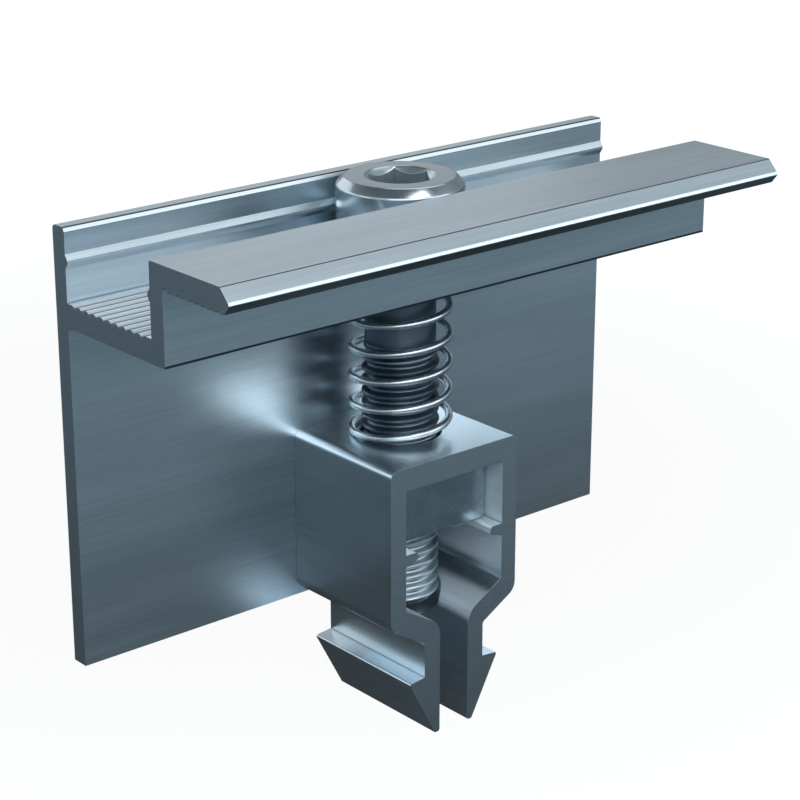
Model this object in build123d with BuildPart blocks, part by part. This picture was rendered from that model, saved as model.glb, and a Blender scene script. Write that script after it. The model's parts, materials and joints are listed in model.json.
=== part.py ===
"""Solar end clamp with a click-in foot.

One extruded clamp profile carries the module's edge under its lip. A socket screw stands in the
profile's channel, passes through a compression spring, and runs in a square nut that is held in
an extruded foot. The foot's barbed legs click into the slot of a mounting rail.

Frame: the origin is on the screw's axis, level with the bottom edge of the clamp's plate, which
is where the top of the rail lies. +X runs along the clamp profile, -Y points to the module, +Z is
up. All sizes are in millimetres.
"""
import os
from math import cos, radians, sqrt, tan

from build123d import *

# Hardware. The screw's head and the square nut are equally wide, as M8 hardware is.
screw_diameter = 8.0
hardware_width = 13.0
head_height = 8.0
head_edge_chamfer = 0.85
socket_width = 6.0  # across the flats of the hexagon
socket_depth = 4.0
socket_mouth_chamfer = 0.6
screw_end_chamfer = 0.8
thread_length = 28.1  # from the screw's end
shank_diameter = 7.3  # above the thread, thinner as thread rolling leaves it
nut_height = 6.5
nut_edge_radius = 1.0
nut_edge_chamfer = 0.35
thread_clearance = 0.05  # between the screw and the nut's bore, on the radius
hole_clearance = 0.5  # around the screw in the clamp's floor, on the radius

# Clamp profile, one section extruded along X.
clamp_length = 70.0
clamp_height = 45.0
plate_thickness = 1.95
channel_clearance = 0.42  # from the screw's head to each side of the channel
channel_depth = 7.35
floor_thickness = 2.4
wall_thickness = 2.0
lip_thickness = 2.45
lip_reach = 9.95  # from the wall's outer face to the nose
nose_run = 1.3  # how far the nose slopes out
nose_drop = 1.47  # how far the nose slopes down
nose_land_run = 0.18  # the steeper land at the nose's tip
nose_land_height = 0.31
nose_undercut = 0.77
bead_below_top = 3.3
bead_height = 0.38
bead_base = 1.4
bead_crest = 0.3
floor_groove_count = 10
floor_groove_pitch = 1.23
floor_groove_width = 1.0
floor_groove_depth = 0.42
lip_groove_count = 8
lip_groove_pitch = 1.0
lip_groove_width = 0.6
lip_groove_depth = 0.25
lip_groove_offset = 1.35  # from the wall's outer face to the first groove
lip_root_radius = 0.4
plate_back_radius = 0.5
plate_bevel_depth = 0.17
plate_bevel_height = 0.45
lip_edge_radius = 0.3
nose_land_radius = 0.5
nose_tip_radius = 0.1
nose_lower_radius = 0.25
floor_corner_radius = 0.4
wall_corner_radius = 0.1

# Spring, a right-handed coil with plain ends.
spring_length = 16.8
spring_wire = 0.8
spring_pitch = 2.985
spring_clearance = 0.6  # from the screw to the coil, on the radius
spring_start_angle = 157.0  # where the wire leaves the foot
spring_seat_angle = 90.0  # how far each end lies flat
spring_end_gap = 0.03

# Click-in foot, one section extruded along Y and symmetric about the screw.
foot_height = 30.7
foot_top_thickness = 2.5
foot_wall = 1.97
foot_plate_gap = 0.02  # between the foot's back face and the plate
foot_setback = 0.3  # from the wall's outer face to the foot's front
foot_top_radius = 0.8
nut_side_clearance = 0.03
nut_headroom = 0.4
ledge_overlap = 1.6  # how far each ledge stands out under the nut
ledge_tip_height = 0.8
ledge_root_height = 1.35
ledge_tip_radius = 0.4
shoulder_drop = 17.35  # from the foot's top to the outer foot of its side walls
shoulder_angle = 30.0
shoulder_thickness = 2.5
shoulder_outer_radius = 1.5
shoulder_inner_radius = 0.5
slot_width = 3.84
slot_mouth_radius = 2.2
leg_thickness = 2.08
leg_root_radius = 0.5
barb_drop = 23.8  # from the foot's top to the roots of the barbs
barb_reach = 2.08
barb_slope = 0.22
barb_tip_radius = 0.2
leg_tip_width = 0.6
leg_tip_radius = 0.35
bore_clearance = 0.3  # around the screw in the foot, on the radius
relief_drop = 1.55  # how far the straight part of the screw's hole goes below the side walls
screw_end_clearance = 0.5  # from there up to the screw's end

# Levels and faces that follow from the sizes above.
screw_radius = screw_diameter / 2
shank_radius = shank_diameter / 2
hardware_half = hardware_width / 2
plate_front = hardware_half + channel_clearance
plate_back = plate_front + plate_thickness
wall_inner = -plate_front
wall_outer = wall_inner - wall_thickness
floor_top = clamp_height - channel_depth
floor_bottom = floor_top - floor_thickness
lip_bottom = clamp_height - lip_thickness
nose_y = wall_outer - lip_reach
bead_level = clamp_height - bead_below_top

foot_top = floor_bottom - spring_length
foot_bottom = foot_top - foot_height
foot_back = plate_front - foot_plate_gap
foot_front = wall_outer + foot_setback
chamber_top = foot_top - foot_top_thickness
chamber_half = hardware_half + nut_side_clearance
foot_half = chamber_half + foot_wall
ledge_top = chamber_top - nut_headroom - nut_height
slot_half = slot_width / 2
leg_outer = slot_half + leg_thickness
shoulder_slope = tan(radians(shoulder_angle))
shoulder_level = foot_top - shoulder_drop
shoulder_depth = shoulder_thickness / cos(radians(shoulder_angle))
barb_level = foot_top - barb_drop
bore_radius = screw_radius + bore_clearance
relief_bottom = shoulder_level - relief_drop
relief_cone_height = bore_radius - slot_half
screw_end = relief_bottom + screw_end_clearance
thread_top = screw_end + thread_length


def outer_shoulder(x):
    """Level of the shoulder's outer face at a distance x from the middle of the foot."""
    return shoulder_level - (foot_half - x) * shoulder_slope


def inner_shoulder(x):
    """Level of the shoulder's inner face at a distance x from the middle of the foot."""
    return outer_shoulder(x) + shoulder_depth


def corner(section, across, level):
    """The corner of a section that lies nearest to the given point."""
    return section.vertices().sort_by_distance((across, level))[0]


# The clamp profile: an upright plate, a channel with a grooved floor, and a lip with a nose.
clamp_outline = [
    (plate_front, 0),
    (plate_back, 0),
    (plate_back, clamp_height),
    (plate_front + plate_bevel_depth, clamp_height),
    (plate_front, clamp_height - plate_bevel_height),
    (plate_front, floor_top),
    (wall_inner, floor_top),
    (wall_inner, clamp_height),
    (nose_y + nose_run, clamp_height),
    (nose_y + nose_land_run, clamp_height - nose_drop + nose_land_height),
    (nose_y, clamp_height - nose_drop),
    (nose_y + nose_undercut, lip_bottom),
    (wall_outer, lip_bottom),
    (wall_outer, floor_bottom),
    (plate_front, floor_bottom),
]
floor_grooves = [
    ((index - (floor_groove_count - 1) / 2) * floor_groove_pitch, floor_top)
    for index in range(floor_groove_count)
]
lip_grooves = [
    (wall_outer - lip_groove_offset - index * lip_groove_pitch, lip_bottom)
    for index in range(lip_groove_count)
]
with BuildPart() as clamp_profile:
    with BuildSketch(Plane.YZ.offset(-clamp_length / 2)) as clamp_section:
        with BuildLine():
            Polyline(*clamp_outline, close=True)
        make_face()
        fillet(corner(clamp_section, plate_back, clamp_height), plate_back_radius)
        fillet(corner(clamp_section, wall_inner, clamp_height), lip_edge_radius)
        land_corner = (nose_y + nose_land_run, clamp_height - nose_drop + nose_land_height)
        fillet(corner(clamp_section, *land_corner), nose_land_radius)
        fillet(corner(clamp_section, nose_y, clamp_height - nose_drop), nose_tip_radius)
        fillet(corner(clamp_section, nose_y + nose_undercut, lip_bottom), nose_lower_radius)
        fillet(corner(clamp_section, wall_outer, floor_bottom), wall_corner_radius)
        fillet(corner(clamp_section, plate_front, floor_bottom), floor_corner_radius)
        # One bead on each side of the channel.
        for face, outward in ((plate_front, -1), (wall_inner, 1)):
            crest = face + outward * bead_height
            with BuildLine():
                Polyline(
                    (face, bead_level - bead_base / 2),
                    (crest, bead_level - bead_crest / 2),
                    (crest, bead_level + bead_crest / 2),
                    (face, bead_level + bead_base / 2),
                    close=True,
                )
            make_face()
        # Grooves in the channel's floor and under the lip, and a round relief at the lip's root.
        with Locations(*floor_grooves):
            Polygon(
                (-floor_groove_width / 2, 0),
                (0, -floor_groove_depth),
                (floor_groove_width / 2, 0),
                align=None,
                mode=Mode.SUBTRACT,
            )
        with Locations(*lip_grooves):
            Polygon(
                (-lip_groove_width / 2, 0),
                (lip_groove_width / 2, 0),
                (0, lip_groove_depth),
                align=None,
                mode=Mode.SUBTRACT,
            )
        with Locations((wall_outer - lip_root_radius, lip_bottom)):
            Circle(lip_root_radius, mode=Mode.SUBTRACT)
    extrude(amount=clamp_length)
    # The screw's hole in the floor.
    with Locations((0, 0, floor_top)):
        Hole(radius=screw_radius + hole_clearance, depth=floor_thickness)
clamp_profile.part.label = "clamp_profile"

# The click-in foot: a box for the nut with two ledges, sloping shoulders, and barbed legs.
foot_outline = [
    (0, foot_top),
    (foot_half, foot_top),
    (foot_half, outer_shoulder(foot_half)),
    (leg_outer, outer_shoulder(leg_outer)),
    (leg_outer, barb_level),
    (leg_outer + barb_reach, barb_level - barb_slope),
    (slot_half + leg_tip_width, foot_bottom),
    (slot_half, foot_bottom),
    (slot_half, inner_shoulder(slot_half)),
    (chamber_half, inner_shoulder(chamber_half)),
    (chamber_half, ledge_top - ledge_root_height),
    (chamber_half - ledge_overlap, ledge_top - ledge_tip_height),
    (chamber_half - ledge_overlap, ledge_top),
    (chamber_half, ledge_top),
    (chamber_half, chamber_top),
    (0, chamber_top),
]
with BuildPart() as click_foot:
    with BuildSketch(Plane.XZ.offset(-foot_back)) as foot_section:
        with BuildLine():
            Polyline(*foot_outline, close=True)
        make_face()
        fillet(corner(foot_section, foot_half, foot_top), foot_top_radius)
        fillet(corner(foot_section, foot_half, outer_shoulder(foot_half)), shoulder_outer_radius)
        fillet(corner(foot_section, leg_outer, outer_shoulder(leg_outer)), leg_root_radius)
        fillet(corner(foot_section, leg_outer + barb_reach, barb_level - barb_slope), barb_tip_radius)
        fillet(corner(foot_section, slot_half, foot_bottom), leg_tip_radius)
        fillet(corner(foot_section, slot_half, inner_shoulder(slot_half)), slot_mouth_radius)
        fillet(corner(foot_section, chamber_half, inner_shoulder(chamber_half)), shoulder_inner_radius)
        fillet(corner(foot_section, chamber_half - ledge_overlap, ledge_top), ledge_tip_radius)
        mirror(about=Plane.YZ)
    extrude(amount=foot_back - foot_front)
    # The screw's hole, drilled from above through the top and into the shoulders, with a cone at
    # its end that matches the screw's chamfered end.
    with Locations((0, 0, foot_top)):
        Hole(radius=bore_radius, depth=foot_top - relief_bottom)
    with BuildSketch(Plane.XY.offset(relief_bottom)):
        Circle(bore_radius)
    extrude(amount=-relief_cone_height, taper=45, mode=Mode.SUBTRACT)
click_foot.part.label = "click_foot"

# The socket head screw. Its thread is a plain cylinder as wide as the crests.
screw_outline = [
    (0, screw_end),
    (screw_radius - screw_end_chamfer, screw_end),
    (screw_radius, screw_end + screw_end_chamfer),
    (screw_radius, thread_top),
    (shank_radius, thread_top + screw_radius - shank_radius),
    (shank_radius, floor_top),
    (hardware_half, floor_top),
    (hardware_half, floor_top + head_height - head_edge_chamfer),
    (hardware_half - head_edge_chamfer, floor_top + head_height),
    (0, floor_top + head_height),
]
socket_corner = socket_width / sqrt(3)
with BuildPart() as socket_screw:
    with BuildSketch(Plane.XZ):
        with BuildLine():
            Polyline(*screw_outline, close=True)
        make_face()
    revolve(axis=Axis.Z)
    with BuildSketch(Plane.XY.offset(floor_top + head_height - socket_depth)):
        RegularPolygon(socket_corner, 6)
    extrude(amount=socket_depth, mode=Mode.SUBTRACT)
    # The socket's mouth is opened by a cone.
    with BuildSketch(Plane.XY.offset(floor_top + head_height)):
        Circle(socket_width / 2 + socket_mouth_chamfer)
    extrude(amount=-socket_mouth_chamfer, taper=45, mode=Mode.SUBTRACT)
socket_screw.part.label = "socket_screw"

# The square nut, which stands on the foot's ledges.
with BuildPart() as square_nut:
    with BuildSketch(Plane.XY.offset(ledge_top)) as nut_section:
        Rectangle(hardware_width, hardware_width)
        fillet(nut_section.vertices(), nut_edge_radius)
    extrude(amount=nut_height)
    nut_levels = square_nut.edges().group_by(Axis.Z)
    chamfer(nut_levels[0] + nut_levels[-1], nut_edge_chamfer)
    with Locations((0, 0, ledge_top + nut_height)):
        Hole(radius=screw_radius + thread_clearance, depth=nut_height)
square_nut.part.label = "square_nut"

# The spring between the foot's top and the channel's floor. Each end lies flat on its seat.
coil_radius = screw_radius + spring_clearance + spring_wire / 2
coil_start = foot_top + spring_end_gap + spring_wire / 2
coil_rise = spring_length - spring_wire - 2 * spring_end_gap
coil_turn = 360 * coil_rise / spring_pitch
with BuildLine(Plane.XY.offset(coil_start)) as lower_seat:
    CenterArc((0, 0), coil_radius, -spring_seat_angle, spring_seat_angle)
with BuildLine(Plane.XY.offset(coil_start)) as coil:
    Helix(pitch=spring_pitch, height=coil_rise, radius=coil_radius)
with BuildLine(Plane.XY.offset(coil_start + coil_rise)) as upper_seat:
    CenterArc((0, 0), coil_radius, coil_turn, spring_seat_angle)
with BuildPart() as spring_from_zero:
    for path in (lower_seat.line, coil.line, upper_seat.line):
        with BuildSketch(Plane(origin=path @ 0, z_dir=path % 0)):
            Circle(spring_wire / 2)
        sweep(path=path, is_frenet=True)
    # A ball fills the small bend where the coil meets each seat.
    with Locations(coil.line @ 0, coil.line @ 1):
        Sphere(spring_wire / 2)
compression_spring = spring_from_zero.part.rotate(Axis.Z, spring_start_angle)
compression_spring.label = "compression_spring"

os.makedirs("parts", exist_ok=True)
export_step(clamp_profile.part, "parts/clamp_profile.step")
export_step(click_foot.part, "parts/click_foot.step")
export_step(socket_screw.part, "parts/socket_screw.step")
export_step(square_nut.part, "parts/square_nut.step")
export_step(compression_spring, "parts/compression_spring.step")
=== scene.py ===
"""Looks of the solar end clamp.

The clamp profile, the click-in foot and the square nut keep their CAD meshes and get their metal
finishes here. The screw and the spring are made again as finer meshes, the screw with its rolled
thread and the spring as one round wire.

Frame: metres, the origin on the screw's axis at the level of the rail, +X along the clamp
profile, -Y towards the module, +Z up.
"""
from __future__ import annotations

import json
import logging
import math
from dataclasses import dataclass, field
from enum import Enum
from typing import Any, Mapping, Sequence

import bmesh
import bpy
import numpy as np
from mathutils import Matrix, Vector

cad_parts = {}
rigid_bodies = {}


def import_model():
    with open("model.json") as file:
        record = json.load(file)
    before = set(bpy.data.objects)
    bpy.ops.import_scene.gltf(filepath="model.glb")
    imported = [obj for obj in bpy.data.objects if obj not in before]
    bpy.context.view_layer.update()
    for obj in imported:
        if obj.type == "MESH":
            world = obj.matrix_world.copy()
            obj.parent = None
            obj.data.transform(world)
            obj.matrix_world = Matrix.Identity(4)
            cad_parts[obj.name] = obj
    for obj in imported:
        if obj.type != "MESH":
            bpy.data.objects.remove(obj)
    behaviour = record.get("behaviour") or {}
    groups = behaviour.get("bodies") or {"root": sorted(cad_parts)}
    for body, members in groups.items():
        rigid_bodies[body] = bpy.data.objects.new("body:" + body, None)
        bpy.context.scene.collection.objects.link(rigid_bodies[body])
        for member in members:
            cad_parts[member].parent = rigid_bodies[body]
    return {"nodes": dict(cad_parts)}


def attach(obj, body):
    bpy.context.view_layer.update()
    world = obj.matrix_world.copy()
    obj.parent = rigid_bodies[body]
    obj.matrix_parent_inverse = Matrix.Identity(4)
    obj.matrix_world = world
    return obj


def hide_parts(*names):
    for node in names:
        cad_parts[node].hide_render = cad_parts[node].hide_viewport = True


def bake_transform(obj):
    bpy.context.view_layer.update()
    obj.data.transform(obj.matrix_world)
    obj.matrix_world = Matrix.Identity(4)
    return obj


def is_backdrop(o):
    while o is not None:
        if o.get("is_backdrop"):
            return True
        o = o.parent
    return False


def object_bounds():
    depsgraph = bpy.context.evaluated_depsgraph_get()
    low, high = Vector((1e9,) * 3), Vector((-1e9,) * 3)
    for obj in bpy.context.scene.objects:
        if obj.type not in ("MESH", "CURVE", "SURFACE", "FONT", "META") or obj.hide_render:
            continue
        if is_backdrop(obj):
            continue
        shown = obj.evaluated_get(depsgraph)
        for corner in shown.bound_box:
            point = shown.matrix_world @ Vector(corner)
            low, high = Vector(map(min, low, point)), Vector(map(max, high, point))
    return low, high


LOG = logging.getLogger("end_clamp")

BLACK = (0.0, 0.0, 0.0)
WHITE = (1.0, 1.0, 1.0)

EDGE_SAMPLES = 6
MERGE_DISTANCE = 2e-7
NO_LENGTH = 1e-8

Colour = tuple[float, float, float]
Point = tuple[float, float, float]
Pair = tuple[float, float]


class Axis(Enum):
    """An axis of the part's frame."""

    X = 0
    Y = 1
    Z = 2


class Wire:
    """An output of a shader tree that arithmetic can be written with."""

    def __init__(self, graph: "Graph", socket: bpy.types.NodeSocket) -> None:
        """Keeps the tree and the socket."""
        self.graph = graph
        self.socket = socket

    def _sum(self, operation: str, first: Any, second: Any = 0.0) -> "Wire":
        """The result of one Math node on two numbers or wires."""
        return self.graph.node("ShaderNodeMath", {"operation": operation}, {0: first, 1: second})

    def __add__(self, other: Any) -> "Wire":
        """self + other."""
        return self._sum("ADD", self, other)

    def __radd__(self, other: Any) -> "Wire":
        """other + self."""
        return self._sum("ADD", other, self)

    def __sub__(self, other: Any) -> "Wire":
        """self - other."""
        return self._sum("SUBTRACT", self, other)

    def __rsub__(self, other: Any) -> "Wire":
        """other - self."""
        return self._sum("SUBTRACT", other, self)

    def __mul__(self, other: Any) -> "Wire":
        """self * other."""
        return self._sum("MULTIPLY", self, other)

    def __rmul__(self, other: Any) -> "Wire":
        """other * self."""
        return self._sum("MULTIPLY", other, self)

    def __truediv__(self, other: Any) -> "Wire":
        """self / other."""
        return self._sum("DIVIDE", self, other)

    def __rtruediv__(self, other: Any) -> "Wire":
        """other / self."""
        return self._sum("DIVIDE", other, self)

    def __abs__(self) -> "Wire":
        """The size of self without its sign."""
        return self._sum("ABSOLUTE", self)

    def larger(self, other: Any) -> "Wire":
        """The larger one of self and other."""
        return self._sum("MAXIMUM", self, other)

    def ramp(self, low: float, high: float) -> "Wire":
        """0 below low, 1 above high, and a smooth step between them."""
        settings, inputs = {"interpolation_type": "SMOOTHSTEP"}, {"From Min": low, "From Max": high}
        return self.graph.node("ShaderNodeMapRange", settings, {"Value": self, **inputs})


class Graph:
    """The node tree of one material or of the world."""

    def __init__(self, tree: bpy.types.NodeTree) -> None:
        """Empties the tree."""
        self.tree = tree
        tree.nodes.clear()

    def node(
        self,
        kind: str,
        settings: Mapping[str, Any] | None = None,
        inputs: Mapping[int | str, Any] | None = None,
        output: int | str = 0,
    ) -> Wire | None:
        """Adds one node.

        Args:
            kind: The node's type.
            settings: Properties that are set before the sockets, such as an operation. The key
                "stops" fills a colour ramp with pairs of a place and a colour.
            inputs: Values or wires for the sockets, by index or name.
            output: The output to return, by index or name.

        Returns:
            The chosen output, or None for a node that has none.
        """
        made = self.tree.nodes.new(kind)
        for key, value in (settings or {}).items():
            if key == "stops":
                ramp = made.color_ramp
                while len(ramp.elements) < len(value):
                    ramp.elements.new(0.5)
                for element, (place, colour) in zip(ramp.elements, value):
                    element.position = place
                    element.color = (*colour, 1.0)
            else:
                setattr(made, key, value)
        for key, value in (inputs or {}).items():
            socket = made.inputs[key]
            if isinstance(value, Wire):
                self.tree.links.new(value.socket, socket)
            elif socket.type == "RGBA" and len(value) == 3:
                socket.default_value = (*value, 1.0)
            else:
                socket.default_value = value
        return Wire(self, made.outputs[output]) if made.outputs else None

    def blend(self, factor: Any, first: Any, second: Any) -> Wire:
        """The first colour where the factor is 0, the second where it is 1, and a mix between."""
        # A Mix node's colours are its inputs 6 and 7 and its output 2.
        return self.node("ShaderNodeMix", {"data_type": "RGBA"}, {"Factor": factor, 6: first, 7: second}, 2)

    def scaled(self, vector: Wire, scale: Point) -> Wire:
        """A vector multiplied by one number for each axis."""
        return self.node("ShaderNodeVectorMath", {"operation": "MULTIPLY"}, {0: vector, 1: scale})

    def spread(self, change: Wire, colour: Colour, amount: float) -> Wire:
        """A colour that a change of -0.5 makes darker by an amount, and one of 0.5 brighter."""
        dull, bright = (tuple(value * share for value in colour) for share in (1.0 - amount, 1.0 + amount))
        return self.blend(change + 0.5, dull, bright)

    def part(self, vector: Wire, axis: Axis) -> Wire:
        """A vector's part along one axis."""
        return self.node("ShaderNodeSeparateXYZ", inputs={0: vector}, output=axis.value)

    def measure(self, operation: str, first: Wire, second: Any) -> Wire:
        """A number from two vectors: their DOT_PRODUCT or their DISTANCE."""
        return self.node("ShaderNodeVectorMath", {"operation": operation}, {0: first, 1: second}, "Value")

    def radius(self, place: Wire) -> Wire:
        """The distance from the screw's axis."""
        return self.measure("DISTANCE", self.scaled(place, (1.0, 1.0, 0.0)), BLACK)

    def normal(self) -> Wire:
        """The surface's own normal."""
        return self.node("ShaderNodeNewGeometry", output="Normal")

    def noise(self, place: Wire, waves: Point, detail: float = 2.0, roughness: float = 0.5) -> Wire:
        """Noise from -0.5 to 0.5.

        Args:
            place: The vector that it follows.
            waves: How many waves it has to a unit of the vector, along each axis.
            detail: How many finer layers it has.
            roughness: How strong the finer layers are.

        Returns:
            The noise.
        """
        made = self.node(
            "ShaderNodeTexNoise",
            {"noise_dimensions": "3D"},
            {"Vector": self.scaled(place, waves), "Scale": 1.0, "Detail": detail, "Roughness": roughness},
        )
        return made - 0.5

    def seen(self, straight: float, mirrored: float) -> Wire:
        """How bright something looks.

        Args:
            straight: Its strength where the camera sees it straight.
            mirrored: Its strength in or through another surface.

        Returns:
            The strength, which is 0 for the light that falls on a surface.
        """
        ray, gloss, through = (
            self.node("ShaderNodeLightPath", output=f"Is {kind} Ray")
            for kind in ("Camera", "Glossy", "Transmission")
        )
        return ray * straight + (gloss + through) * mirrored


@dataclass(frozen=True)
class Metal:
    """What every metal finish here has.

    Attributes:
        name: The material's name.
        colour: The metal's colour where it faces the eye.
        roughness: How blurred its reflections are.
        spread: How far lines and clouds take the colour down and up, as a share of it.
        line_effect: How much the lines change the colour, and the roughness.
        line_depth: How deep the lines are, in metres.
        cloud_effect: How much the clouds change the colour, and the roughness.
        edge_radius: How far the eye sees its sharp edges broken, in metres.
        edge_slopes: How far the broken normal is turned where an edge starts and where it is
            full, as 1 less the cosine of the turn.
        edge_gain: How many times the metal's colour the painted highlight on a broken edge is.
        edge_shine: How much of that painted highlight an edge takes on.
        corner_reach: How far the painted line of shade in an inner corner reaches, in metres.
        corner_open: How open the surface is where that line is full and where it ends.
        corner_shade: How much darker that line is.
    """

    name: str
    colour: Colour
    roughness: float
    spread: float = 0.3
    line_effect: Pair = (0.4, 0.4)
    line_depth: float = 0.0000004
    cloud_effect: Pair = (0.4, 0.5)
    edge_radius: float = 0.00005
    edge_slopes: Pair = (0.02, 0.25)
    edge_gain: float = 1.6
    edge_shine: float = 0.15
    corner_reach: float = 0.0003
    corner_open: Pair = (0.45, 0.95)
    corner_shade: float = 0.6

    def _start(self) -> tuple[bpy.types.Material, Graph, Wire]:
        """Starts a material.

        Returns:
            The new material, its tree and its Object coordinates.
        """
        material = bpy.data.materials.new(self.name)
        material.use_nodes = True
        graph = Graph(material.node_tree)
        place = graph.node("ShaderNodeTexCoord", output="Object")
        return material, graph, place

    def _skin(self, graph: Graph, lines: Wire, cloud: Wire) -> tuple[Wire, Wire]:
        """Puts lines and clouds on the metal.

        Args:
            graph: The tree.
            lines: The noise that makes the lines.
            cloud: The noise that makes the clouds.

        Returns:
            The colour and the roughness over the surface.
        """
        effects = zip(self.line_effect, self.cloud_effect)
        change, blur = (lines * fine + cloud * wide for fine, wide in effects)
        return graph.spread(change, self.colour, self.spread), self.roughness * (1.0 + blur)

    def _edges(self, graph: Graph, skin: Wire) -> tuple[Wire, Wire]:
        """Breaks the sharp edges and paints a highlight along them.

        Args:
            graph: The tree.
            skin: The colour over the surface.

        Returns:
            The normal with broken edges, and the colour with a painted highlight on the edges.
        """
        soft = graph.node("ShaderNodeBevel", {"samples": EDGE_SAMPLES}, {"Radius": self.edge_radius})
        along = graph.measure("DOT_PRODUCT", soft, graph.normal())
        edge = (1.0 - along).ramp(*self.edge_slopes)
        # Painted highlight: a broken edge's colour is the metal's, made brighter.
        painted_highlight = tuple(min(1.0, value * self.edge_gain) for value in self.colour)
        return soft, graph.blend(edge * self.edge_shine, skin, painted_highlight)

    def _painted_corner_shade(self, graph: Graph, colour: Wire) -> Wire:
        """Paints a fine dark line of shade in every inner corner, where the surroundings close in.

        Args:
            graph: The tree.
            colour: The colour over the surface.

        Returns:
            The colour with the painted lines of shade.
        """
        settings = {"samples": EDGE_SAMPLES, "only_local": True}
        openness = graph.node("ShaderNodeAmbientOcclusion", settings, {"Distance": self.corner_reach}, "AO")
        # Painted shade: the colour goes towards black where ambient occlusion finds a corner.
        shade = (1.0 - openness.ramp(*self.corner_open)) * self.corner_shade
        return graph.blend(shade, colour, BLACK)

    def _finish(
        self,
        graph: Graph,
        colour: Wire,
        roughness: Wire,
        height: Wire,
        normal: Wire,
        metal: Wire | float = 1.0,
    ) -> None:
        """Adds the metal's shader.

        Args:
            graph: The tree.
            colour: The colour over the surface.
            roughness: The roughness over the surface.
            height: The relief over the surface, as a share of the lines' depth.
            normal: The normal that the relief starts from.
            metal: How metallic the surface is.
        """
        bump = graph.node(
            "ShaderNodeBump",
            inputs={"Strength": 1.0, "Distance": self.line_depth, "Height": height, "Normal": normal},
        )
        shader = graph.node(
            "ShaderNodeBsdfPrincipled",
            inputs={"Base Color": colour, "Roughness": roughness, "Metallic": metal, "Normal": bump},
        )
        graph.node("ShaderNodeOutputMaterial", inputs={"Surface": shader})


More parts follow.
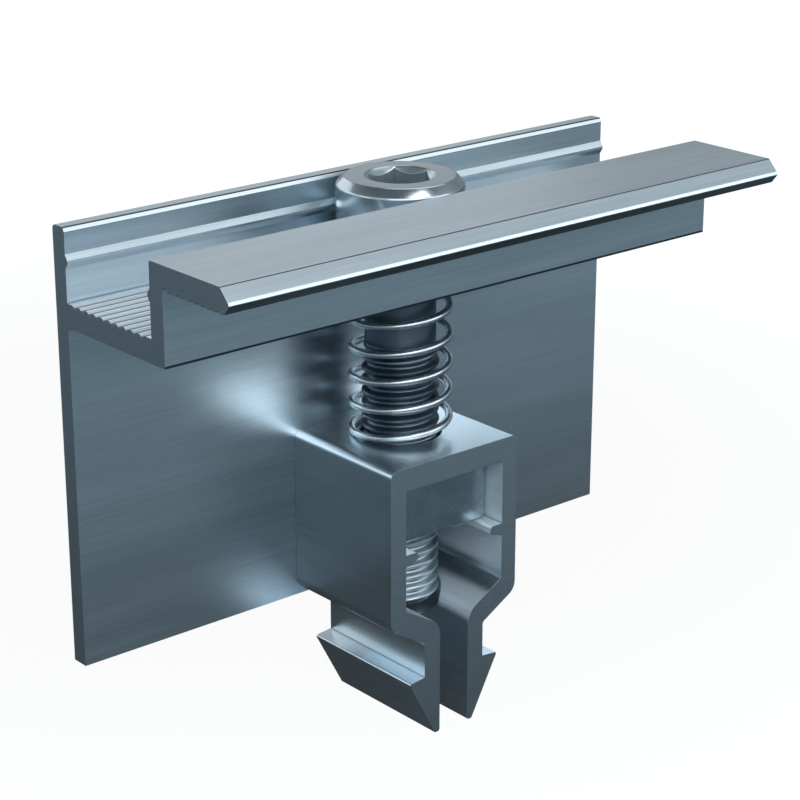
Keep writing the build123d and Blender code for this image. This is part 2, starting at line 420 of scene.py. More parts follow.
@dataclass(frozen=True)
class ExtrudedAluminium(Metal):
    """Aluminium that came out of a die along one axis and was sawn across it.

    Its lengths and levels are in metres.

    Attributes:
        along: The axis that the extrusion runs along.
        line_size: The width and the length of the fine die lines.
        line_share: How much the fine die lines count.
        band_size: The width and the length of the wider die lines.
        band_share: How much the wider die lines count.
        cloud_size: The width and the length of the clouds.
        cut_slopes: How far a face looks along the extrusion where it starts to be a sawn end and
            where it is one.
        cut_colour: The colour of the sawn ends.
        cut_spread: How far the saw marks take that colour down and up, as a share of it.
        cut_roughness: The roughness of the sawn ends.
        cut_effect: How much the saw marks change the colour, and the roughness.
        cut_relief: How deep they are, as a share of the die lines' depth.
        grain_waves: How many grains the sawn ends have to a metre.
        grain_share: How much the grain counts.
        mark_waves: How many saw marks the ends have to a metre along each axis.
        mark_share: How much the saw marks count.
        mask_edge: How wide the edges of the masks are.
        dark_lines: Lines of painted shade along the extrusion, each as its place in the section,
        across and up, its reach, and how dark it is.
        dark_core: The share of a dark line's reach that is fully dark.
        groove_levels: Between the first two levels the grooves go from plain to dark with painted
        shade, and below the third nothing is a groove.
        groove_slopes: How far up a groove's face looks where its shade starts and where it is
            full.
        groove_shade: How dark the grooves' painted shade is.
        under_slopes: How far down a face looks where its shade starts and where it is full.
        under_shade: How much darker the painted shade makes the faces that look down.
        side_shade: The half width of the outer sides, the two levels between which their painted
        shade goes from nothing to full, and how much darker it makes them.
        inside: The half width and the top level of the inner faces, which are rougher and partly
            diffuse so that painted light brightens them.
        inside_metal: How metallic the inner faces are, below 1 for that painted light.
        inside_roughness: How much is added to their roughness.
        inside_levels: Levels with the share of that at each.
        inside_bore: Within this radius of the screw's axis, and above this level, the share is
            full.
        outer_lean: How far a face's place and its normal lie on the same side, as the product of
            the two across the extrusion, where it starts to be an outer face and where it is one.
    """

    spread: float = 0.45
    line_effect: Pair = (0.3, 0.25)
    line_depth: float = 0.000006
    cloud_effect: Pair = (0.16, 0.3)
    edge_gain: float = 2.0
    along: Axis = Axis.X
    line_size: Pair = (0.0003, 0.02)
    line_share: float = 1.1
    band_size: Pair = (0.0021, 0.05)
    band_share: float = 0.5
    cloud_size: Pair = (0.009, 0.03)
    cut_slopes: Pair = (0.8, 0.95)
    cut_colour: Colour = (0.1, 0.1, 0.1)
    cut_spread: float = 0.3
    cut_roughness: float = 0.45
    cut_effect: Pair = (0.5, 0.08)
    cut_relief: float = 0.2
    grain_waves: float = 9000.0
    grain_share: float = 0.5
    mark_waves: Point = (900.0, 900.0, 7000.0)
    mark_share: float = 0.8
    mask_edge: float = 0.0001
    dark_lines: tuple[tuple[float, float, float, float], ...] = ()
    dark_core: float = 0.45
    groove_levels: tuple[float, float, float] | None = None
    groove_slopes: Pair = (0.1, 0.3)
    groove_shade: float = 0.8
    under_slopes: Pair = (0.585, 0.612)
    under_shade: float = 0.65
    side_shade: tuple[float, float, float, float] | None = None
    inside: Pair | None = None
    inside_metal: float = 0.5
    inside_roughness: float = 0.15
    inside_levels: tuple[Pair, ...] = (
        (-0.0008, 0.03),
        (-0.0001, 0.9),
        (0.0015, 0.9),
        (0.0020, 0.06),
        (0.0034, 0.06),
        (0.0042, 1.0),
    )
    inside_bore: Pair = (0.0044, -0.0004)
    outer_lean: Pair = (0.00005, 0.0003)

    def _inside(self, graph: Graph, place: Wire) -> Wire:
        """A mask that is 1 on the inner faces of a hollow extrusion along Y.

        Args:
            graph: The tree.
            place: The Object coordinates.

        Returns:
            The mask, from 0 to 1.
        """
        half, top = self.inside
        across, height = graph.part(place, Axis.X), graph.part(place, Axis.Z)
        # The outer faces look away from the part's middle plane.
        outer = (across * graph.part(graph.normal(), Axis.X)).ramp(*self.outer_lean)
        within = (half - abs(across)).ramp(0.0, self.mask_edge) * (top - height).ramp(0.0, self.mask_edge)
        low, high = self.inside_levels[0][0], self.inside_levels[-1][0]
        stops = [((level - low) / (high - low), (share,) * 3) for level, share in self.inside_levels]
        steps = graph.node("ShaderNodeValToRGB", {"stops": stops}, {0: (height - low) / (high - low)})
        bore, bottom = self.inside_bore
        relief = (bore - graph.radius(place)).ramp(0.0, self.mask_edge)
        relief = relief * (height - bottom).ramp(0.0, self.mask_edge)
        return within * (1.0 - outer) * steps.larger(relief)

    def _painted_shade(self, graph: Graph, place: Wire) -> Wire:
        """A mask of painted shade: the dark lines, the grooves, the undersides and the outer sides.

        Args:
            graph: The tree.
            place: The Object coordinates.

        Returns:
            The mask, from 0 to 1.
        """
        across, height = graph.part(place, Axis.X), graph.part(place, Axis.Z)
        rise = graph.part(graph.normal(), Axis.Z)
        # Painted shade on the faces that look down, then on the lines, the grooves and the outer sides.
        dark = (-1.0 * rise).ramp(*self.under_slopes) * self.under_shade
        section = graph.scaled(place, tuple(float(axis is not self.along) for axis in Axis))
        for aside, up, reach, depth in self.dark_lines:
            spot = (0.0, aside, up) if self.along is Axis.X else (aside, 0.0, up)
            line = 1.0 - graph.measure("DISTANCE", section, spot).ramp(self.dark_core * reach, reach)
            dark = dark.larger(line * depth)
        if self.groove_levels:
            plain, deep, bottom = self.groove_levels
            groove = (plain - height).ramp(0.0, plain - deep) * rise.ramp(*self.groove_slopes)
            dark = dark.larger(groove * (height - bottom).ramp(0.0, self.mask_edge) * self.groove_shade)
        if self.side_shade:
            half, low, high, depth = self.side_shade
            side = (abs(across) - half).ramp(0.0, self.mask_edge) * (height - low).ramp(0.0, high - low)
            dark = dark.larger(side * depth)
        return dark

    def _waves(self, size: Pair) -> Point:
        """How many waves noise has to a metre, from one wave's width and its length along."""
        width, length = size
        return tuple(1.0 / (length if axis is self.along else width) for axis in Axis)

    def build(self) -> bpy.types.Material:
        """Makes the material, with die lines along the extrusion and saw marks on its ends.

        Returns:
            The material.
        """
        material, graph, place = self._start()
        fine = graph.noise(place, self._waves(self.line_size), detail=3.0, roughness=0.6)
        wide = graph.noise(place, self._waves(self.band_size))
        lines = fine * self.line_share + wide * self.band_share
        skin, rough_skin = self._skin(graph, lines, graph.noise(place, self._waves(self.cloud_size)))
        # The sawn ends face along the extrusion.
        sawn = abs(graph.part(graph.normal(), self.along)).ramp(*self.cut_slopes)
        grain = graph.noise(place, (self.grain_waves,) * 3)
        marks = graph.noise(place, self.mark_waves, detail=1.0)
        teeth = grain * self.grain_share + marks * self.mark_share
        contrast, blur = self.cut_effect
        cut = graph.spread(teeth * contrast, self.cut_colour, self.cut_spread)
        rough_cut = self.cut_roughness + teeth * blur
        soft, colour = self._edges(graph, graph.blend(sawn, skin, cut))
        # Painted shade: the mask darkens the colour towards black, but not on the sawn ends.
        colour = graph.blend(self._painted_shade(graph, place) * (1.0 - sawn), colour, BLACK)
        roughness = rough_skin + sawn * (rough_cut - rough_skin)
        height = lines * (1.0 - sawn) + teeth * sawn * self.cut_relief
        metal: Wire | float = 1.0
        if self.inside:
            # Painted light: the inner faces turn partly diffuse, so their colour brightens the chamber;
            # they are also rougher.
            inner = self._inside(graph, place) * (1.0 - sawn)
            roughness = roughness + inner * self.inside_roughness
            metal = 1.0 - inner * (1.0 - self.inside_metal)
        self._finish(graph, self._painted_corner_shade(graph, colour), roughness, height, soft, metal)
        return material


@dataclass(frozen=True)
class TurnedSteel(Metal):
    """Stainless steel that was turned or rolled about the screw's axis.

    Attributes:
        ring_width: The width of the finest rings, in metres.
        cloud_waves: How many clouds the skin has to a metre.
        level_edge: How wide the masks' edges are along the axis, in metres.
        radius_edge: How wide the masks' edges are across the axis, in metres.
        dull_levels: The shaft has painted shade between these two levels, and is rougher up to the
        higher one, in metres.
        dull_radius: How far out from the axis that reaches, in metres.
        shaft_shade: How much of the painted shade's colour it takes on there.
        shaft_shade_colour: The painted shade's colour, a dark blue.
        dull_roughness: How much is added to the shaft's roughness.
        socket: The radius and the lowest level of the pressed socket, in metres.
        socket_roughness: How much is added to the socket's roughness.
        socket_metal: How metallic the socket is, below 1 so that painted light brightens its walls.
    """

    line_effect: Pair = (0.35, 0.5)
    line_depth: float = 0.0000006
    cloud_effect: Pair = (0.3, 0.7)
    ring_width: float = 0.00009
    cloud_waves: float = 350.0
    level_edge: float = 0.0003
    radius_edge: float = 0.0002
    dull_levels: Pair | None = None
    dull_radius: float = 0.0045
    shaft_shade: float = 0.72
    shaft_shade_colour: Colour = (0.01, 0.045, 0.08)
    dull_roughness: float = 0.17
    socket: Pair | None = None
    socket_roughness: float = 0.12
    socket_metal: float = 0.9

    def build(self) -> bpy.types.Material:
        """Makes the material, with rings that depend on the radius and the height.

        Returns:
            The material.
        """
        material, graph, place = self._start()
        radius, height = graph.radius(place), graph.part(place, Axis.Z)
        section = graph.node("ShaderNodeCombineXYZ", inputs={0: radius, 1: height, 2: 0.0})
        rings = graph.noise(section, (1.0 / self.ring_width,) * 3, roughness=0.6)
        cloud = graph.noise(place, (self.cloud_waves,) * 3, detail=3.0)
        skin, roughness = self._skin(graph, rings, cloud)
        soft, colour = self._edges(graph, skin)
        if self.dull_levels:
            low, high = self.dull_levels
            shaft = (self.dull_radius - radius).ramp(0.0, self.radius_edge)
            shaft = shaft * (high - height).ramp(0.0, self.level_edge)
            # Painted shade on the shaft inside the spring, towards a dark blue.
            shaded_shaft = shaft * (height - low).ramp(0.0, self.level_edge)
            colour = graph.blend(shaded_shaft * self.shaft_shade, colour, self.shaft_shade_colour)
            roughness = roughness + shaft * self.dull_roughness
        metal: Wire | float = 1.0
        if self.socket:
            reach, bottom = self.socket
            inner = (reach - radius).ramp(0.0, self.radius_edge)
            inner = inner * (height - bottom).ramp(0.0, self.level_edge)
            roughness = roughness + inner * self.socket_roughness
            # Painted light: the socket's walls are partly diffuse and look lighter; they are also rougher.
            metal = 1.0 - inner * (1.0 - self.socket_metal)
        self._finish(graph, self._painted_corner_shade(graph, colour), roughness, rings, soft, metal)
        return material


@dataclass(frozen=True)
class DrawnWire(Metal):
    """Polished steel wire with drawing lines along it, laid by the piece's UV map.

    Attributes:
        line_waves: How many drawing lines there are round the wire, and to a metre along it.
        cloud_waves: How many clouds the skin has to a metre.
    """

    line_waves: Point = (40.0, 120.0, 1.0)
    cloud_waves: float = 500.0

    def build(self) -> bpy.types.Material:
        """Makes the material: U runs once round the wire and V along it, in metres.

        Returns:
            The material.
        """
        material, graph, place = self._start()
        chart = graph.node("ShaderNodeTexCoord", output="UV")
        lines = graph.noise(chart, self.line_waves)
        colour, roughness = self._skin(graph, lines, graph.noise(place, (self.cloud_waves,) * 3))
        self._finish(graph, colour, roughness, lines, graph.normal())
        return material


def dress(piece: bpy.types.Object, material: bpy.types.Material) -> None:
    """Puts one material on all of a piece.

    Args:
        piece: The piece.
        material: Its material.
    """
    piece.data.materials.clear()
    piece.data.materials.append(material)
    piece.data.polygons.foreach_set("material_index", np.zeros(len(piece.data.polygons), np.int32))


def grid_piece(name: str, points: np.ndarray, chart: np.ndarray | None, sharp: float) -> bpy.types.Object:
    """A closed piece from a grid of points.

    The grid has a row for each station and a column for each step round it. Its last column lies
    on its first, and its first and last rows may shrink to a point. Points that coincide are
    merged, so the seam and the poles close, and the normals are then turned outwards.

    Args:
        name: The piece's name.
        points: The points, as rows x columns x 3, in metres.
        chart: The UV map, as rows x columns x 2, or None.
        sharp: Edges that bend by more than this angle stay sharp, in degrees.

    Returns:
        The new object, linked to the scene.
    """
    rows, columns = points.shape[:2]
    index = np.arange(rows * columns).reshape(rows, columns)
    quads = np.stack([index[:-1, :-1], index[:-1, 1:], index[1:, 1:], index[1:, :-1]], -1).reshape(-1, 4)
    mesh = bpy.data.meshes.new(name)
    mesh.from_pydata(points.reshape(-1, 3), [], quads.tolist())
    if chart is not None:
        layer = mesh.uv_layers.new(name="chart")
        layer.data.foreach_set("uv", chart.reshape(-1, 2)[quads.ravel()].astype(np.float32).ravel())
    piece = bpy.data.objects.new(name, mesh)
    bpy.context.scene.collection.objects.link(piece)
    work = bmesh.new()
    work.from_mesh(mesh)
    bmesh.ops.remove_doubles(work, verts=work.verts, dist=MERGE_DISTANCE)
    bmesh.ops.dissolve_degenerate(work, edges=work.edges, dist=NO_LENGTH)
    bmesh.ops.recalc_face_normals(work, faces=work.faces)
    work.to_mesh(mesh)
    work.free()
    mesh.shade_smooth()
    mesh.set_sharp_from_angle(angle=math.radians(sharp))
    return piece


def rounded(corners: Sequence[Pair], radius: float, steps: int = 3, share: float = 0.45) -> np.ndarray:
    """A polyline whose inner corners are rounded by short parabolic arcs.

    Each corner is replaced by points on the curve (1-t)^2 a + 2t(1-t) b + t^2 c, where b is the
    corner and a and c lie at the radius from it on its two sides.

    Args:
        corners: The corners as pairs.
        radius: How far the rounding reaches from each corner.
        steps: How many parts each arc has.
        share: The largest part of a side that the rounding takes.

    Returns:
        The points, as rows x 2.
    """
    path = np.array(corners, float)
    corner = path[1:-1]
    ends = []
    for side in (path[:-2] - corner, path[2:] - corner):
        length = np.linalg.norm(side, axis=1, keepdims=True)
        ends.append(corner + side / length * np.minimum(radius, share * length))
    start, end = (points[:, None] for points in ends)
    t = np.linspace(0, 1, steps + 1)[None, :, None]
    arcs = (1 - t) ** 2 * start + 2 * t * (1 - t) * corner[:, None] + t**2 * end
    return np.concatenate([path[:1], arcs.reshape(-1, 2), path[-1:]])


@dataclass
class SocketScrew:
    """The M8 socket head cap screw, one surface wound round its axis.

    Attributes:
        end_level: The level of the screw's end, in metres like every length here.
        head_level: The level of the head's underside.
        radius: The thread's radius.
        pitch: The thread's pitch.
        shank_radius: The smooth shank's radius.
        thread_top: The level where the thread ends.
        thread_depth: How deep the thread is.
        crest: Half the width of the thread's crest, as a share of the pitch.
        flank: The width of the thread's flank, as a share of the pitch.
        thread_steps: How many rows of the mesh a turn of the thread has.
        runout: The height over which the thread fades into the shank.
        end_chamfer: The size of the cone at the screw's end.
        head_radius: The head's radius.
        head_height: The head's height.
        head_chamfer: The size of the head's chamfer.
        rounding: How far the rounding of the head's edges reaches.
        land: How wide the ring of the top face is that the socket's mouth starts from.
        socket_width: The hexagon's width across its flats.
        socket_depth: How deep the hexagon is.
        socket_mouth: How far its mouth is wider on each side.
        mouth_rounding: How far the rounding of the mouth's edge reaches.
        mouth_step: How far under the mouth's cone the hexagon is full.
        floor_rounding: How far in and up the rounding at the socket's floor reaches.
        drill_share: The drill point's width, as a share of the hexagon's.
        drill_depth: The drill point's depth.
        columns: How many columns the mesh has.
        sharp: Edges that bend by more than this angle stay sharp, in degrees.
        finish: The screw's finish.
    """

    end_level: float = 0.00005
    head_level: float = 0.03765
    radius: float = 0.004
    pitch: float = 0.00125
    shank_radius: float = 0.00365
    thread_top: float = 0.0285
    thread_depth: float = 0.00058
    crest: float = 0.04
    flank: float = 0.40
    thread_steps: int = 16
    runout: float = 0.0016
    end_chamfer: float = 0.0008
    head_radius: float = 0.0065
    head_height: float = 0.008
    head_chamfer: float = 0.00085
    rounding: float = 0.00016
    land: float = 0.0002
    socket_width: float = 0.006
    socket_depth: float = 0.004
    socket_mouth: float = 0.0006
    mouth_rounding: float = 0.00003
    mouth_step: float = 0.00004
    floor_rounding: Pair = (0.0001, 0.00008)
    drill_share: float = 0.82
    drill_depth: float = 0.0008
    columns: int = 96
    sharp: float = 32.0
    finish: TurnedSteel = field(
        default_factory=lambda: TurnedSteel(
            "screw_steel_finish",
            (0.48, 0.56, 0.61),
            0.19,
            # Painted shade on the shaft between these levels.
            dull_levels=(0.0185, 0.0352),
            socket=(0.0036, 0.0405),
        )
    )

    @property
    def top(self) -> float:
        """The level of the head's top face."""
        return self.head_level + self.head_height

    @property
    def mouth_radius(self) -> float:
        """The radius of the socket's mouth."""
        return self.socket_width / 2 + self.socket_mouth

    def _thread(self, turn: np.ndarray) -> np.ndarray:
        """The threaded part.

        A row follows the thread's helix: its height is pitch x (phase + turn), held between the
        screw's end and the top of the thread. Its radius is the screw's less the thread's depth
        times s^2 (3 - 2 s), where s rises from 0 at the crest to 1 at the root, so that both are
        round as rolling leaves them. Near its top the thread fades into the thinner shank, and a
        45 degree cone cuts it at the screw's end.

        Args:
            turn: The angle of each column as a share of a turn.

        Returns:
            The radii and the heights, as 2 x rows x columns.
        """
        turns = math.ceil((self.thread_top - self.end_level) / self.pitch) + 1
        phase = np.arange(-self.thread_steps, turns * self.thread_steps) / self.thread_steps
        height = self.end_level + self.pitch * (phase[:, None] + turn[None, :])
        height = np.clip(height, self.end_level, self.thread_top)
        share = phase % 1.0
        side = np.clip((np.minimum(share, 1.0 - share) - self.crest) / self.flank, 0.0, 1.0)
        cut = side**2 * (3.0 - 2.0 * side)
        fade = np.clip((self.thread_top - height) / self.runout, 0.0, 1.0)
        thread = self.radius - self.thread_depth * cut[:, None]
        radius = self.shank_radius + (thread - self.shank_radius) * fade
        cone = self.radius - self.end_chamfer + (height - self.end_level)
        return np.stack([np.minimum(radius, cone), height])

    def _socket(self, angle: np.ndarray) -> np.ndarray:
        """The hexagon socket.

        At an angle a the hexagon's radius is half its width over the cosine of the angle from the
        middle of the nearest flat. A 45 degree cone opens its mouth, and a shallow drill point
        ends it.

        Args:
            angle: The angle of each column.

        Returns:
            The radii and the heights, as 2 x rows x columns.
        """
        sixth = math.pi / 3
        hexagon = self.socket_width / 2 / np.cos(angle % sixth - sixth / 2)
        rim = np.maximum(self.mouth_radius, hexagon)
        floor = self.top - self.socket_depth
        inward, upward = self.floor_rounding
        rows = (
            (rim + 2 * self.mouth_rounding, self.top),
            (rim - self.mouth_rounding, self.top - self.mouth_rounding),
            (hexagon, self.top - (rim - hexagon) - self.mouth_step),
            (hexagon, floor + upward),
            (hexagon - inward, floor),
            (self.drill_share * self.socket_width / 2, floor),
            (0.0, floor - self.drill_depth),
        )
        return np.stack([np.broadcast_arrays(angle, *row)[1:] for row in rows], axis=1)

    def build(self) -> bpy.types.Object:
        """Makes the screw and rides it on its body.

        A point of the surface is (r cos a, r sin a, h), where the radius r and the height h run
        from the middle of the screw's end up the thread and the head and down the socket.

        Returns:
            The screw.
        """
        turn = np.linspace(0.0, 1.0, self.columns + 1)
        angle = turn * 2 * math.pi
        end = np.array([(0.0, self.end_level), (self.radius - self.end_chamfer, self.end_level)])
        head = rounded(
            [
                (self.shank_radius, self.thread_top),
                (self.shank_radius, self.head_level),
                (self.head_radius, self.head_level),
                (self.head_radius, self.top - self.head_chamfer),
                (self.head_radius - self.head_chamfer, self.top),
                (self.mouth_radius + self.land, self.top),
            ],
            self.rounding,
        )
        end_rows, head_rows = (profile.T[:, :, None] * np.ones_like(angle) for profile in (end, head))
        rows = [end_rows, self._thread(turn), head_rows, self._socket(angle)]
        radius, height = np.concatenate(rows, axis=1)
        points = np.stack([radius * np.cos(angle), radius * np.sin(angle), height], -1)
        piece = grid_piece("screw", points, None, self.sharp)
        dress(piece, self.finish.build())
        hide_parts("socket_screw")
        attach(piece, "screw")
        return piece


@dataclass
class CompressionSpring:
    """The coil between the foot and the channel, one round wire wound right-handed.

    Attributes:
        foot_level: The level of the foot's top, in metres like every length here; not used.
        floor_level: The level of the channel floor's underside; not used.
        coil_radius: The radius of the wire's middle.
        wire: The wire's diameter.
        pitch: How far the wire rises in a turn.
        start: The angle where the wire starts to rise, in degrees.
        first_level: The level of the wire's middle on its lower seat.
        rise: How far the upper seat is above the lower one.
        seat: How far each end lies flat on its seat, in degrees.
        seat_bend: How soft the bend from a seat into the rise is, in turns.
        tip: How long the rounding of a wire's end is.
        tip_sizes: The wire's size at its end and where the rounding starts, as shares of it.
        steps_a_turn: How many rows of the mesh a turn has.
        sides: How many columns the mesh has.
        sharp: Edges that bend by more than this angle stay sharp, in degrees.
        finish: The spring's finish.
    """

    foot_level: float = 0.01845
    floor_level: float = 0.03525
    coil_radius: float = 0.005
    wire: float = 0.0008
    pitch: float = 0.002985
    start: float = 157.0
    first_level: float = 0.01888
    rise: float = 0.01594
    seat: float = 90.0
    seat_bend: float = 0.02
    tip: float = 0.00006
    tip_sizes: tuple[float, ...] = (0.0, 0.86, 0.97)
    steps_a_turn: int = 72
    sides: int = 16
    sharp: float = 50.0
    finish: DrawnWire = field(
        default_factory=lambda: DrawnWire("spring_steel_finish", (0.64, 0.71, 0.75), 0.28)
    )

    def _soft(self, wind: np.ndarray) -> np.ndarray:
        """(w + sqrt(w^2 + e^2)) / 2: about 0 below 0 and about w above it, with a soft bend."""
        return (wind + np.hypot(wind, self.seat_bend)) / 2

    def build(self) -> bpy.types.Object:
        """Makes the spring between the foot and the clamp.

        The wire's middle runs on x = R cos a, y = R sin a. Its height rises by the pitch a turn
        between the two seats and stays level on them: the height is
        z0 + pitch (soft(w) - soft(w - turns)) for w turns. Round it, a point lies at cos b
        outwards and sin b upwards, times the wire's radius. The radius falls to nothing at the
        two ends over a small rounding.

        Returns:
            The spring.
        """
        turns = self.rise / self.pitch
        seat = self.seat / 360
        run = 2 * math.pi * self.coil_radius
        wind = np.linspace(-seat, turns + seat, int((turns + 2 * seat) * self.steps_a_turn) + 1)
        tip = self.tip / run
        first, last = wind[0], wind[-1]
        wind = np.concatenate([[first, first, first + tip], wind[1:-1], [last - tip, last, last]])
        size = np.ones_like(wind)
        size[: len(self.tip_sizes)] = self.tip_sizes
        size[-len(self.tip_sizes) :] = self.tip_sizes[::-1]
        angle = math.radians(self.start) + wind * 2 * math.pi
        outward = np.stack([np.cos(angle), np.sin(angle), np.zeros_like(angle)], 1)
        middle = outward * self.coil_radius
        middle[:, 2] = self.first_level + self.pitch * (self._soft(wind) - self._soft(wind - turns))
        around = np.linspace(0.0, 2 * math.pi, self.sides + 1)[:, None]
        section = np.cos(around) * outward[:, None, :] + np.sin(around) * np.array((0.0, 0.0, 1.0))
        points = middle[:, None, :] + (self.wire / 2 * size)[:, None, None] * section
        chart = np.stack(np.broadcast_arrays(around.T / (2 * math.pi), wind[:, None] * run), -1)
        piece = grid_piece("spring", points, chart, self.sharp)
        dress(piece, self.finish.build())
        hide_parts("compression_spring")
        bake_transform(piece)
        return piece


@dataclass
class MetalBody:
    """The three pieces that keep their CAD shape.

    Attributes:
        clamp: The clamp profile's finish.
        foot: The click-in foot's finish.
        nut: The square nut's finish.
    """

    clamp: ExtrudedAluminium = field(
        default_factory=lambda: ExtrudedAluminium(
            "clamp_aluminium_finish",
            (0.72, 0.82, 0.885),
            0.31,
            along=Axis.X,
            cut_colour=(0.355, 0.42, 0.47),
            # Painted shade lines at the lip's top corner, the wall's lower edge and the plate's top edge.
            dark_lines=(
                (-0.01759, 0.04498, 0.00008, 0.9),
                (-0.00892, 0.03537, 0.00019, 0.9),
                (0.00709, 0.045, 0.00017, 0.95),
                (0.00699, 0.04474, 0.0004, 0.3),
            ),
            # Painted shade in the grooves of the channel floor.
            groove_levels=(0.03751, 0.03740, 0.0368),
        )
    )
    foot: ExtrudedAluminium = field(
        default_factory=lambda: ExtrudedAluminium(
            "foot_aluminium_finish",
            (0.72, 0.82, 0.885),
            0.30,
            along=Axis.Y,
            cut_colour=(0.385, 0.465, 0.52),
            line_effect=(0.25, 0.25),
            # Painted shade on the foot's outer sides, darker towards the top.
            side_shade=(0.0084, -0.002, 0.010, 0.42),
            # Painted light on the inner faces of the foot's chamber.
            inside=(0.00665, 0.01605),
        )
    )
    nut: TurnedSteel = field(
        default_factory=lambda: TurnedSteel("nut_steel_finish", (0.47, 0.55, 0.60), 0.26)
    )

    def build(self, nodes: Mapping[str, bpy.types.Object]) -> list[bpy.types.Object]:
        """Dresses the CAD nodes.

        Args:
            nodes: The CAD nodes by name.

        Returns:
            The dressed nodes.
        """
        finishes = {"clamp_profile": self.clamp, "click_foot": self.foot, "square_nut": self.nut}
        for name, finish in finishes.items():
            dress(nodes[name], finish.build())
        return [nodes[name] for name in finishes]


@dataclass
class Lamp:
    """One soft box.

    Attributes:
        name: The lamp's name.
        towards: The direction from the object to the lamp.
        distance: How far away it is, in metres.
        size: Its width and height, in metres.
        radiance: How bright its face is, where 1 is white.
    """

    name: str
    towards: Point
    distance: float
    size: Pair
    radiance: float

    def build(self, target: Vector) -> None:
        """Adds the lamp.

        Args:
            target: The point that the lamp faces.
        """
        data = bpy.data.lights.new(self.name, "AREA")
        data.shape = "RECTANGLE"
        data.size, data.size_y = self.size
        data.energy = self.radiance * math.pi * self.size[0] * self.size[1]
        lamp = bpy.data.objects.new(self.name, data)
        direction = Vector(self.towards).normalized()
        lamp.location = target + direction * self.distance
        lamp.rotation_euler = direction.to_track_quat("Z", "Y").to_euler()
        lamp.visible_camera = False
        bpy.context.scene.collection.objects.link(lamp)


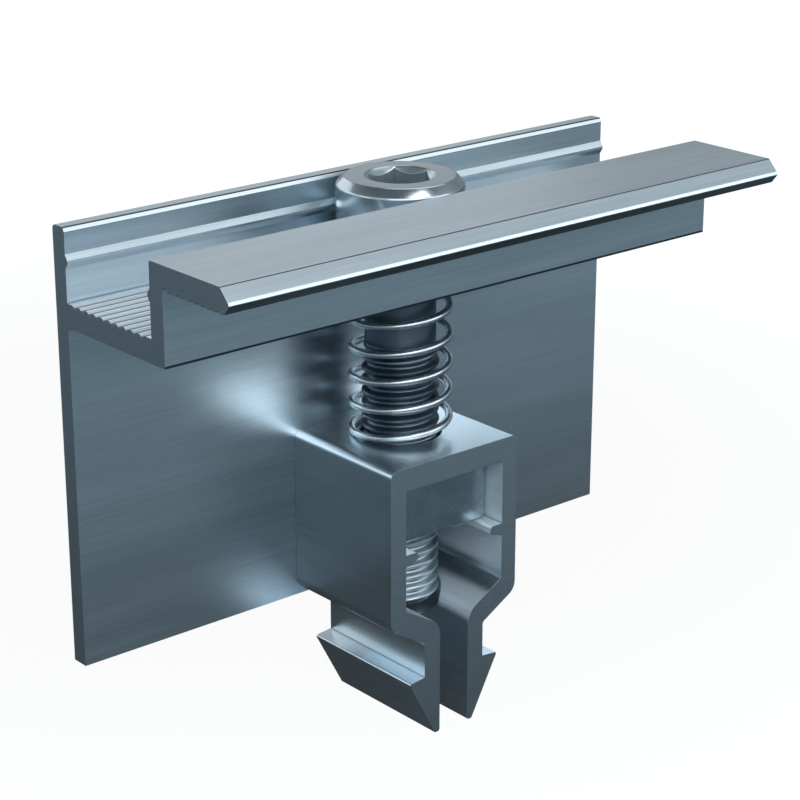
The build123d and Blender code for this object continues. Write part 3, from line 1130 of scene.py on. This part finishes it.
@dataclass
class Studio:
    """The camera, the pale floor, the soft lamps and the pale world.

    Attributes:
        camera_place: The camera's place, in metres.
        azimuth: How far the camera is turned round the part from its front, in degrees.
        elevation: How far the camera looks down, in degrees.
        focal_pixels: The focal length, in pixels of the picture.
        picture_pixels: The picture's width, in pixels.
        sensor: The width of the camera's sensor, in millimetres.
        clip: The nearest and the farthest distance that the camera sees, in metres.
        floor_level: The level of the foot's tips, in metres.
        floor_size: The floor's width, in metres.
        floor_glow: How bright the paper is to the camera, beside its light.
        mirror_glow: How bright the paper and the sky are in a piece, beside their light.
        paper: The paper's colour for light.
        shade_middle: The middle of the paper's painted shadow on the floor, in metres.
        shade_reach: How far from there the shade starts to fade and where it ends, in metres.
        shade_depth: How dark the shade is.
        front: The direction where the sky is brightest.
        front_slopes: How far a direction points there where the sky starts to be brighter and
            where it is brightest.
        top_slopes: How far up a direction points where the sky starts to be dark and where it is.
        sky_front: The sky's colour in front of the part.
        sky_back: The sky's colour behind it.
        top_front: The overhead sky's colour on the front's side.
        top_back: The overhead sky's colour on the other side.
        lamps: The soft boxes.
    """

    camera_place: Point = (-0.145098, -0.171464, 0.102844)
    azimuth: float = -40.229
    elevation: float = 19.842
    focal_pixels: float = 2319.33
    picture_pixels: float = 800.0
    sensor: float = 36.0
    clip: Pair = (0.01, 50.0)
    floor_level: float = -0.0122
    floor_size: float = 6.0
    floor_glow: float = 0.955
    mirror_glow: float = 0.03
    paper: Colour = (0.104, 0.156, 0.187)
    shade_middle: Pair = (0.03, 0.07)
    shade_reach: Pair = (0.045, 0.16)
    shade_depth: float = 0.95
    front: Point = (-0.35, -0.93, 0.0)
    front_slopes: Pair = (-0.6, 0.8)
    top_slopes: Pair = (0.6, 0.9)
    sky_front: Colour = (0.64, 0.74, 0.79)
    sky_back: Colour = (0.24, 0.265, 0.28)
    top_front: Colour = (0.13, 0.16, 0.18)
    top_back: Colour = (0.095, 0.11, 0.12)
    lamps: Sequence[Lamp] = (
        Lamp("front_right_box", (0.596, -0.71, 0.375), 0.6, (0.336, 0.264), 1.4),
        Lamp("top_front_box", (0.10, -0.447, 0.889), 0.7, (0.34, 0.17), 3.4),
        Lamp("camera_side_box", (-0.468, -0.749, 0.469), 0.9, (0.9, 0.63), 1.1),
        Lamp("front_box", (0.0, -0.82, 0.574), 0.9, (0.72, 0.54), 0.97),
        Lamp("top_right_box", (0.433, 0.25, 0.866), 0.7, (0.42, 0.42), 1.1),
        Lamp("back_right_box", (0.476, 0.81, 0.342), 0.9, (0.45, 0.45), 0.22),
        Lamp("back_box", (-0.161, 0.913, 0.375), 0.9, (0.9, 0.45), 0.9),
        Lamp("left_box", (-0.803, 0.464, 0.375), 0.9, (0.72, 0.45), 0.66),
    )

    def _camera(self) -> None:
        """Sets the camera at its place, turned by its azimuth and elevation."""
        turn, rise = math.radians(self.azimuth), math.radians(self.elevation)
        back = Vector((math.sin(turn) * math.cos(rise), -math.cos(turn) * math.cos(rise), math.sin(rise)))
        right = Vector((math.cos(turn), math.sin(turn), 0.0))
        up = back.cross(right)
        data = bpy.data.cameras.new("camera")
        data.sensor_width = self.sensor
        data.lens = self.focal_pixels * self.sensor / self.picture_pixels
        data.clip_start, data.clip_end = self.clip
        camera = bpy.data.objects.new("camera", data)
        pose = Matrix((right, up, back)).transposed().to_4x4()
        pose.translation = Vector(self.camera_place)
        camera.matrix_world = pose
        bpy.context.scene.collection.objects.link(camera)
        bpy.context.scene.camera = camera

    def _paper(self) -> bpy.types.Material:
        """Makes the floor's paper, with a painted shadow behind the foot where the part keeps light off.

        Returns:
            The material.
        """
        material = bpy.data.materials.new("floor_paper")
        material.use_nodes = True
        graph = Graph(material.node_tree)
        place = graph.node("ShaderNodeTexCoord", output="Object")
        reach = graph.measure("DISTANCE", place, (*self.shade_middle, self.floor_level))
        # Painted shadow: the paper goes darker towards the shade's middle.
        shade = 1.0 - (1.0 - reach.ramp(*self.shade_reach)) * self.shade_depth
        paper = graph.node("ShaderNodeBsdfDiffuse", inputs={"Color": graph.blend(shade, BLACK, self.paper)})
        seen = graph.seen(self.floor_glow, self.mirror_glow)
        lift = graph.node("ShaderNodeEmission", inputs={"Color": WHITE, "Strength": seen})
        surface = graph.node("ShaderNodeAddShader", inputs={0: paper, 1: lift})
        graph.node("ShaderNodeOutputMaterial", inputs={"Surface": surface})
        return material

    def _floor(self) -> None:
        """Lays the pale floor under the foot's tips."""
        half = self.floor_size / 2
        mesh = bpy.data.meshes.new("floor")
        corners = [(-half, -half), (half, -half), (half, half), (-half, half)]
        mesh.from_pydata([(x, y, self.floor_level) for x, y in corners], [], [(0, 1, 2, 3)])
        floor = bpy.data.objects.new("floor", mesh)
        bpy.context.scene.collection.objects.link(floor)
        dress(floor, self._paper())
        floor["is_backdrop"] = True

    def _world(self) -> None:
        """Fills the world: brightest in front of the part, dimmer behind it and dark overhead."""
        world = bpy.data.worlds.new("studio")
        bpy.context.scene.world = world
        world.use_nodes = True
        graph = Graph(world.node_tree)
        towards = graph.node("ShaderNodeTexCoord", output="Generated")
        ahead = graph.measure("DOT_PRODUCT", towards, self.front).ramp(*self.front_slopes)
        low = graph.blend(ahead, self.sky_back, self.sky_front)
        high = graph.blend(ahead, self.top_back, self.top_front)
        dome = graph.blend(graph.part(towards, Axis.Z).ramp(*self.top_slopes), low, high)
        seen = graph.blend(graph.seen(1.0, self.mirror_glow), dome, WHITE)
        sky = graph.node("ShaderNodeBackground", inputs={"Color": seen, "Strength": 1.0})
        graph.node("ShaderNodeOutputWorld", inputs={"Surface": sky})

    def build(self, target: Vector) -> None:
        """Sets up the camera, the floor, the lamps and the world.

        Args:
            target: The point that the lamps face.
        """
        bpy.context.scene.view_settings.view_transform = "Standard"
        self._world()
        self._camera()
        self._floor()
        for lamp in self.lamps:
            lamp.build(target)


def main() -> None:
    """Builds the scene in order."""
    logging.basicConfig(level=logging.INFO, format="%(name)s: %(message)s")
    for leftover in list(bpy.data.objects):
        bpy.data.objects.remove(leftover, do_unlink=True)
    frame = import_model()
    low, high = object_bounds()
    Studio().build((low + high) / 2)
    for piece in MetalBody().build(frame["nodes"]):
        LOG.info("%s dressed", piece.name)
    for maker in (SocketScrew(), CompressionSpring()):
        piece = maker.build()
        LOG.info("%s has %d faces", piece.name, len(piece.data.polygons))


if __name__ == "__main__":
    main()
